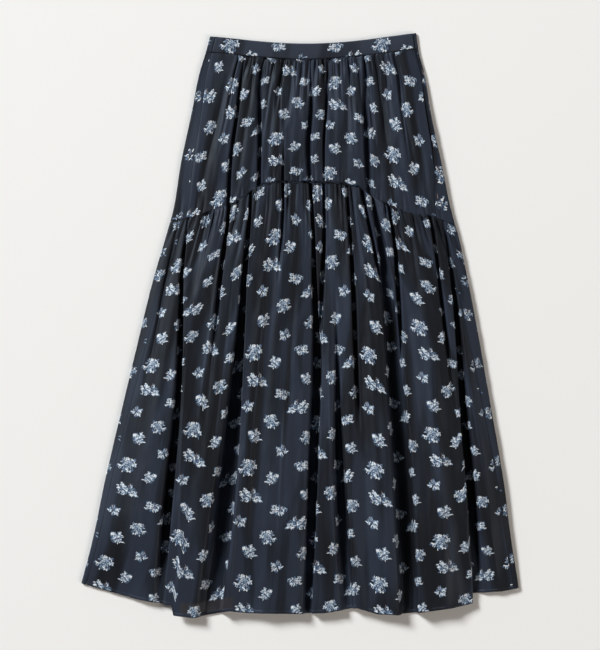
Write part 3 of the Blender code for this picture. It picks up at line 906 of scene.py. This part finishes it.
# Painted light: the place and colour of a paler patch at the hem, painted in for the lit surface seen
# through the thin cloth.
PAINTED_LIGHT_LEFT_X = -0.187
PAINTED_LIGHT_RIGHT_X = -0.101
PAINTED_LIGHT_FOOT = 0.0045
PAINTED_LIGHT_TOP = 0.0230
PAINTED_LIGHT_SIDE_BLEND = 0.006
PAINTED_LIGHT_FOOT_BLEND = 0.001
PAINTED_LIGHT_TOP_BLEND = 0.003
PAINTED_SHOW_THROUGH_COLOUR = (0.0300, 0.0285, 0.0325)


def cut_place(x):
    """Where on the flat cut the hem's point at an x lies."""
    return float(np.argmin(np.abs(hem_x - x))) * hem_step


painted_light_left, painted_light_right = cut_place(PAINTED_LIGHT_LEFT_X), cut_place(PAINTED_LIGHT_RIGHT_X)
long_cloth = tier_cloth.copy()
long_cloth.name = "navy taffeta with painted show-through light"
long_tree = long_cloth.node_tree
long_shader = long_tree.nodes["Principled BSDF"]
plain_colour = long_shader.inputs["Base Color"].links[0].from_socket
corner_parts = map_parts(long_tree, "cut")
painted_light_edges = []
for axis, start, blend in (
        ("X", painted_light_left, PAINTED_LIGHT_SIDE_BLEND), ("X", painted_light_right, -PAINTED_LIGHT_SIDE_BLEND),
        ("Y", PAINTED_LIGHT_FOOT, PAINTED_LIGHT_FOOT_BLEND), ("Y", PAINTED_LIGHT_TOP, -PAINTED_LIGHT_TOP_BLEND)):
    edge = add_node(long_tree, "ShaderNodeMapRange", From_Min=start, From_Max=start + blend)
    long_tree.links.new(corner_parts[axis], edge.inputs["Value"])
    painted_light_edges.append(edge.outputs["Result"])
painted_show_through = painted_light_edges[0]
for edge in painted_light_edges[1:]:
    painted_show_through = math_node(long_tree, "MULTIPLY", painted_show_through, edge)
# The painted show-through light is mixed into the taffeta's colour here.
long_tree.links.new(mixed_colour(long_tree, painted_show_through, plain_colour, PAINTED_SHOW_THROUGH_COLOUR),
                    long_shader.inputs["Base Color"])
front_lower = cloth_piece("front_long_tier_cloth", front_long_grid, front_long_levels,
                          front_long_width, LONG_CUT_HEIGHT, long_cloth)
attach(front_lower, "root")
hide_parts("front_lower_tier")

# The waistband is a straight strip of the taffeta, folded over a stiff interlining. It lies
# flat over the gathers, with the back band showing past its ends.
BAND_WALL = 0.0014
BAND_END_GAP = 0.001
BAND_EDGE_TOP = 0.0047
BAND_CROWN = 0.0005
band_crumple = Crumple(height=0.0003, seed=61, cell=0.022, stretch=2.0)


def band_front_row(level, columns):
    """Points of the front band's face, level all along it and slightly crowned."""
    row, length = seam_to_seam(level, columns, BAND_END_GAP)
    part = level / BAND_FOOT_LEVEL
    row[:, 2] = BAND_EDGE_TOP + BAND_CROWN * math.sin(math.pi * part) ** 0.5
    row[:, 2] += band_crumple.height * crumple(row[:, 0], np.full(columns, level * 3), band_crumple)
    return row, length


band_cloth = taffeta(
    "band taffeta", dark=(0.0130, 0.0143, 0.0208), mid=(0.0192, 0.0229, 0.0336),
    light=(0.0278, 0.0341, 0.0510), roughness=0.57, sheen=0.05)
band_levels = np.linspace(0.0, BAND_FOOT_LEVEL, 12)
band_front_grid, band_width = cloth_grid(band_levels, 220, band_front_row)
back_band_grid, back_band_width = cloth_grid(band_levels, 240, back_row)
front_band = cloth_piece("front_band_cloth", band_front_grid, band_levels, band_width,
                         BAND_HEIGHT, band_cloth)
back_band = cloth_piece("back_band_cloth", back_band_grid, band_levels, back_band_width,
                        BAND_HEIGHT, band_cloth, facing_up=False)
for piece, node, width in ((front_band, "front_waistband", band_width),
                           (back_band, "back_waistband", back_band_width)):
    stiff = piece.modifiers.new("Folded band", "SOLIDIFY")
    stiff.thickness = BAND_WALL
    stiff.offset = -1.0
    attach(piece, "root")
    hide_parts(node)

# The flowers are tufts of white, pale blue and steel blue thread, woven into the taffeta and
# cut short on its face, so that they lie proud of it with ragged edges. They stand upright in
# a half-drop on each piece's flat cut, and end where a seam cuts through them.
MM = 0.001
REPEAT_WIDTH = 0.134
REPEAT_HEIGHT = 0.171
HALF_DROP = 0.38
PETAL_TONE_STEP = 0.10


class Tuft(NamedTuple):
    """A patch of cut threads: its middle and half sizes in mm, its turn in degrees."""
    across: float
    up: float
    half_width: float
    half_height: float
    turn: float
    threads: int
    tone: float


def ring_of_tufts(count, across, up, radius, half_width, half_height, threads, tone):
    """Petals around a middle, alternately brighter and duller."""
    petals = []
    for number in range(count):
        angle = 2 * math.pi * (number + 0.3) / count
        petals.append(Tuft(
            across + radius * math.cos(angle), up + radius * math.sin(angle),
            half_width, half_height, math.degrees(angle), threads,
            tone - PETAL_TONE_STEP * (number % 2)))
    return petals


flower_kinds = {
    "rose": ring_of_tufts(5, 0.0, 0.0, 4.2, 4.4, 4.0, 11, 0.72)
            + [Tuft(0.0, 0.0, 4.2, 3.8, 0.0, 12, 0.50), Tuft(-7.6, -3.4, 3.0, 1.8, 20.0, 5, 0.82),
               Tuft(7.0, 4.2, 3.0, 1.8, 35.0, 5, 0.88), Tuft(-3.0, 7.4, 1.8, 2.0, 15.0, 4, 0.80)],
    "crown": ring_of_tufts(6, 0.0, -2.0, 5.6, 5.2, 4.4, 11, 0.70)
             + [Tuft(0.0, -1.6, 5.4, 4.6, 0.0, 16, 0.50), Tuft(-4.4, 6.2, 3.2, 3.0, 10.0, 8, 0.76),
                Tuft(1.6, 7.0, 3.4, 3.2, -4.0, 9, 0.68), Tuft(8.0, 5.4, 2.4, 3.8, -42.0, 8, 0.86),
                Tuft(10.6, 0.6, 3.4, 2.2, 14.0, 6, 0.88), Tuft(-10.0, -3.6, 3.2, 2.0, 12.0, 5, 0.80)],
    "twin": [Tuft(-7.2, -1.2, 6.4, 5.2, 0.0, 26, 0.62), Tuft(7.4, 0.2, 6.6, 5.6, 10.0, 27, 0.72),
             Tuft(0.0, -2.6, 5.4, 3.6, 0.0, 14, 0.56), Tuft(-8.6, -5.8, 6.4, 1.9, 0.0, 11, 0.84),
             Tuft(6.5, -5.8, 7.6, 1.9, 0.0, 12, 0.86), Tuft(-3.5, 4.6, 2.0, 3.0, 34.0, 6, 0.62),
             Tuft(9.0, 6.4, 2.0, 3.2, -30.0, 7, 0.90), Tuft(13.8, 2.4, 2.8, 1.8, 30.0, 5, 0.88)],
    "bud": [Tuft(-2.2, -0.4, 7.0, 5.0, 20.0, 26, 0.58), Tuft(5.4, 2.0, 3.4, 5.4, -16.0, 16, 0.86),
            Tuft(-0.5, -4.4, 7.8, 2.4, 0.0, 14, 0.78), Tuft(-8.8, 1.2, 3.0, 2.0, 12.0, 5, 0.62),
            Tuft(8.6, -2.6, 2.8, 1.8, -20.0, 5, 0.86)],
    "sprig": [Tuft(0.0, -0.8, 5.8, 4.8, 10.0, 22, 0.64), Tuft(4.6, 2.4, 3.2, 2.4, 40.0, 7, 0.86),
              Tuft(-4.8, -1.8, 2.8, 2.2, 15.0, 6, 0.76), Tuft(-1.4, 4.4, 2.0, 2.4, 12.0, 5, 0.82),
              Tuft(3.6, -3.4, 3.0, 1.8, -25.0, 5, 0.82)],
}


class Spot(NamedTuple):
    """A flower's place in the repeat, in metres from its lower left corner."""
    kind: str
    across: float
    up: float
    size: float
    flipped: bool


repeat_spots = [Spot(*row) for row in (
    ("crown", 0.019, 0.155, 1.16, False),
    ("twin", 0.029, 0.113, 1.16, True),
    ("sprig", 0.014, 0.074, 1.28, False),
    ("rose", 0.028, 0.030, 1.18, True),
    ("rose", 0.060, 0.139, 1.07, False),
    ("bud", 0.073, 0.093, 1.14, True),
    ("crown", 0.058, 0.053, 0.97, True),
    ("sprig", 0.074, 0.009, 1.28, True),
    ("bud", 0.107, 0.159, 1.09, False),
    ("rose", 0.115, 0.116, 0.97, True),
    ("twin", 0.102, 0.074, 1.11, False),
    ("crown", 0.116, 0.030, 0.90, False),
)]


class Drawing(NamedTuple):
    """A flower's threads as strips: points in mm with their lift, and each strip's tone."""
    points: np.ndarray
    tones: np.ndarray


class Thread(NamedTuple):
    """Ranges of a cut thread's length and half width in mm, and how far it stands up."""
    length: tuple
    half_width: tuple
    lift: float


fine_thread = Thread(length=(2.2, 4.4), half_width=(0.36, 0.62), lift=0.50)
broad_thread = Thread(length=(3.0, 5.0), half_width=(0.8, 1.2), lift=0.26)
BROAD_TO_SQUARE_MM = 0.42
FINE_TONE_RISE = 0.03
FINE_TONE_SPREAD = 0.34
BROAD_TONES = (0.06, 0.42)
TONE_LIMITS = (0.02, 0.98)
HEADING_SPREAD = 0.9
THREAD_BEND = 0.8
THREAD_END_WIDTH = 0.6
THREAD_END_LIFT = 0.55
TWIGS = 2
TWIG_PLACES_ACROSS = (-7.0, 7.0)
TWIG_PLACES_BELOW_TOP = (1.0, 5.0)
TWIG_HEADINGS = (0.9, 2.3)
TWIG_LENGTHS = (3.5, 6.5)
TWIG_HALF_WIDTH = 0.26
TWIG_LIFT = 0.50


def thread_strip(rng, across, up, heading, length, half_width, lift):
    """Three pairs of points along one bent thread, raised in its middle."""
    bend = rng.uniform(-THREAD_BEND, THREAD_BEND)
    pairs = []
    for step in range(3):
        turned = heading + bend * (step - 1) * 0.5
        side = (-math.sin(turned), math.cos(turned))
        reach = half_width * (1.0 if step == 1 else THREAD_END_WIDTH)
        raised = lift * (1.0 if step == 1 else THREAD_END_LIFT)
        for way in (-1, 1):
            pairs.append((across + way * reach * side[0], up + way * reach * side[1], raised))
        across += 0.5 * length * math.cos(turned)
        up += 0.5 * length * math.sin(turned)
    return pairs


def tuft_threads(tuft, rng, thinning):
    """Strips and tones of one tuft: broad dull threads below, fine bright curls above."""
    strips, tones = [], []
    turn = math.radians(tuft.turn)
    area = tuft.half_width * tuft.half_height
    below = max(2, int(round(thinning * area * BROAD_TO_SQUARE_MM)))
    above = max(2, int(round(thinning * tuft.threads)))
    for number in range(below + above):
        kind = broad_thread if number < below else fine_thread
        angle, spread = rng.uniform(0, 2 * math.pi), math.sqrt(rng.uniform(0, 1))
        a = tuft.half_width * spread * math.cos(angle)
        b = tuft.half_height * spread * math.sin(angle)
        across = tuft.across + a * math.cos(turn) - b * math.sin(turn)
        up = tuft.up + a * math.sin(turn) + b * math.cos(turn)
        heading = math.atan2(up + 1.0, across + 0.01) + rng.normal(0.0, HEADING_SPREAD)
        length, half_width = rng.uniform(*kind.length), rng.uniform(*kind.half_width)
        if kind is fine_thread:
            tone = tuft.tone + FINE_TONE_RISE + rng.normal(0.0, FINE_TONE_SPREAD)
        else:
            tone = rng.uniform(*BROAD_TONES)
        start = 0.5 * length
        strips.append(thread_strip(
            rng, across - start * math.cos(heading), up - start * math.sin(heading),
            heading, length, half_width, kind.lift))
        tones.append((float(np.clip(tone, *TONE_LIMITS)), 0.0))
    return strips, tones


def draw_flower(tufts, seed, thinning=1.0):
    """All threads of one kind of flower: its tufts, and a few brownish twigs over them."""
    rng = np.random.default_rng(seed)
    strips, tones = [], []
    for tuft in tufts:
        tuft_strips, tuft_tones = tuft_threads(tuft, rng, thinning)
        strips += tuft_strips
        tones += tuft_tones
    top = max(tuft.up for tuft in tufts)
    for _ in range(TWIGS):
        across = rng.uniform(*TWIG_PLACES_ACROSS)
        up = top - rng.uniform(*TWIG_PLACES_BELOW_TOP)
        heading = rng.uniform(*TWIG_HEADINGS)
        length = rng.uniform(*TWIG_LENGTHS)
        strips.append(thread_strip(rng, across, up, heading, length, TWIG_HALF_WIDTH, TWIG_LIFT))
        tones.append((0.5, 1.0))
    return Drawing(np.array(strips), np.array(tones))


CUT_EDGE_GAP = 0.0006
CUT_FOOT_GAP = 0.0008


def scattered(drawings, width, height, shift, lift_share):
    """Strips of every flower on a flat cut: points in metres and tones, whole strips only."""
    points, tones = [], []
    for column in range(-1, int(width / REPEAT_WIDTH) + 2):
        for row in range(-1, int(height / REPEAT_HEIGHT) + 2):
            for spot in repeat_spots:
                drawing = drawings[spot.kind]
                scale = np.array([-1.0 if spot.flipped else 1.0, 1.0, 0.0]) * spot.size * MM
                scale[2] = lift_share * MM
                middle = np.array([
                    (column + shift[0]) * REPEAT_WIDTH + spot.across,
                    (row + shift[1] + HALF_DROP * (column % 2)) * REPEAT_HEIGHT + spot.up, 0.0])
                placed = drawing.points * scale + middle
                across, up = placed[..., 0], placed[..., 1]
                whole = ((across > CUT_EDGE_GAP) & (across < width - CUT_EDGE_GAP)
                         & (up > CUT_FOOT_GAP) & (up < height - CUT_EDGE_GAP)).all(axis=1)
                points.append(placed[whole])
                tones.append(drawing.tones[whole])
    return np.concatenate(points), np.concatenate(tones)


def on_cloth(points, grid, levels, width, height, facing_up):
    """Lays points of a flat cut, with their lift, on a piece's form."""
    rows, columns = grid.shape[:2]
    ups = cut_heights(levels, height)[::-1]
    row = rows - 1 - np.interp(points[..., 1], ups, np.arange(rows))
    column = points[..., 0] / width * (columns - 1)
    along = np.gradient(grid, axis=1)
    up_way = -np.gradient(grid, axis=0)
    normal = np.cross(along, up_way)
    normal /= np.linalg.norm(normal, axis=2, keepdims=True)
    if not facing_up:
        normal = -normal
    low_row = np.clip(np.floor(row).astype(int), 0, rows - 2)
    low_column = np.clip(np.floor(column).astype(int), 0, columns - 2)
    row_part = (row - low_row)[..., None]
    column_part = (column - low_column)[..., None]

    def between(values):
        """Values of the grid, blended at the points' places."""
        first = values[low_row, low_column] * (1 - column_part)
        first = first + values[low_row, low_column + 1] * column_part
        second = values[low_row + 1, low_column] * (1 - column_part)
        second = second + values[low_row + 1, low_column + 1] * column_part
        return first * (1 - row_part) + second * row_part

    return between(grid) + between(normal) * points[..., 2:3]


def flower_piece(name, strips, tones, material):
    """One joined mesh of all the threads on a piece, with each thread's tone."""
    first = np.arange(len(strips))[:, None] * 6
    quads = np.concatenate([first + [0, 2, 3, 1], first + [2, 4, 5, 3]], axis=1).reshape(-1, 4)
    piece = mesh_piece(name, strips, quads, "tone", np.repeat(tones, 8, axis=0), material)
    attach(piece, "root")


thread, thread_tree, thread_shader = new_material("flower thread")
tone_parts = map_parts(thread_tree, "tone")
thread_colour = colour_steps(thread_tree, tone_parts["X"], (
    (0.00, (0.026, 0.038, 0.070)), (0.28, (0.078, 0.128, 0.215)), (0.50, (0.185, 0.270, 0.385)),
    (0.74, (0.405, 0.500, 0.610)), (0.96, (0.800, 0.845, 0.885))))
TWIG_COLOUR = (0.36, 0.29, 0.28)
thread_tree.links.new(mixed_colour(thread_tree, tone_parts["Y"], thread_colour, TWIG_COLOUR),
                      thread_shader.inputs["Base Color"])
set_inputs(thread_shader, {"Roughness": 0.62, "Specular IOR Level": 0.35, "Sheen Weight": 0.10})

FRONT_SEED = 100
BACK_SEED = 200
BACK_THINNING = 0.5
BACK_LIFT_SHARE = 0.7
front_drawings = {kind: draw_flower(tufts, FRONT_SEED + number)
                  for number, (kind, tufts) in enumerate(flower_kinds.items())}
back_drawings = {kind: draw_flower(tufts, BACK_SEED + number, BACK_THINNING)
                 for number, (kind, tufts) in enumerate(flower_kinds.items())}
for name, grid, levels, width, height, shift, on_front in (
        ("front_hip_flowers", front_hip_grid, front_hip_levels, front_hip_width, HIP_CUT_HEIGHT,
         (0.30, 0.20), True),
        ("front_long_flowers", front_long_grid, front_long_levels, front_long_width,
         LONG_CUT_HEIGHT, (0.0, 0.36), True),
        ("front_band_flowers", band_front_grid, band_levels, band_width, BAND_HEIGHT,
         (0.05, -0.82), True),
        ("back_hip_flowers", back_hip_grid, back_hip_levels, back_hip_width, HIP_CUT_HEIGHT,
         (0.5, 0.10), False),
        ("back_long_flowers", back_long_grid, back_long_levels, back_long_width,
         LONG_CUT_HEIGHT, (0.7, 0.50), False),
        ("back_band_flowers", back_band_grid, band_levels, back_band_width, BAND_HEIGHT,
         (0.4, 0.30), False)):
    drawings = front_drawings if on_front else back_drawings
    lift_share = 1.0 if on_front else BACK_LIFT_SHARE
    strips, tones = scattered(drawings, width, height, shift, lift_share)
    strips = on_cloth(strips, grid, levels, width, height, on_front)
    flower_piece(name, strips, tones, thread)

# The surface that the skirt lies on is a plain sheet of pale, matt studio paper, wide enough
# to fill the frame from every side.
paper, _, paper_shader = new_material("studio paper")
set_inputs(paper_shader, {
    "Base Color": (0.90, 0.895, 0.885, 1.0), "Roughness": 0.9, "Specular IOR Level": 0.1})
bpy.ops.mesh.primitive_plane_add(size=12.0, location=(0.0, 0.0, 0.0))
floor = bpy.context.object
floor.name = "studio_floor"
floor.data.materials.append(paper)

# A soft key lamp shines from the top left, and a weaker, warmer one from the lower right. The
# room is pale near the floor and dark overhead, so that the cloth keeps its depth.
room = bpy.data.worlds.new("studio room")
room.use_nodes = True
toward = add_node(room.node_tree, "ShaderNodeTexCoord")
toward_parts = add_node(room.node_tree, "ShaderNodeSeparateXYZ")
room.node_tree.links.new(toward.outputs["Generated"], toward_parts.inputs["Vector"])
room_colour = colour_steps(room.node_tree, toward_parts.outputs["Z"], (
    (0.00, (0.80, 0.78, 0.76)), (0.12, (0.72, 0.70, 0.67)), (0.34, (0.054, 0.053, 0.053))))
room.node_tree.links.new(room_colour, room.node_tree.nodes["Background"].inputs["Color"])
bpy.context.scene.world = room


def lamp(name, place, size, power, colour):
    """A square soft lamp that points at the middle of the skirt."""
    light = bpy.data.lights.new(name, "AREA")
    light.shape = "SQUARE"
    light.size = size
    light.energy = power
    light.color = colour
    holder = bpy.data.objects.new(name, light)
    holder.location = place
    holder.rotation_euler = (-Vector(place)).to_track_quat("-Z", "Y").to_euler()
    bpy.context.scene.collection.objects.link(holder)


lamp("key", place=(-9.2, 8.2, 7.3), size=3.7, power=2780.0, colour=(0.968, 0.992, 1.0))
lamp("fill", place=(9.6, -5.4, 6.4), size=5.4, power=660.0, colour=(1.0, 0.900, 0.810))

# The camera looks straight down from over the skirt's middle. Its lens gives a frame that is
# as wide, against the skirt, as the photograph's.
CAMERA_HEIGHT = 3.2
CAMERA_OFFSET = 0.0004
FRAME_WIDTH = 0.918
SENSOR_WIDTH = 36.0
camera_data = bpy.data.cameras.new("camera")
camera_data.sensor_fit = "HORIZONTAL"
camera_data.sensor_width = SENSOR_WIDTH
camera_data.lens = SENSOR_WIDTH * CAMERA_HEIGHT / FRAME_WIDTH
camera = bpy.data.objects.new("camera", camera_data)
camera.location = (CAMERA_OFFSET, CAMERA_OFFSET, CAMERA_HEIGHT)
bpy.context.scene.collection.objects.link(camera)
bpy.context.scene.camera = camera
bpy.context.scene.view_settings.view_transform = "Standard"
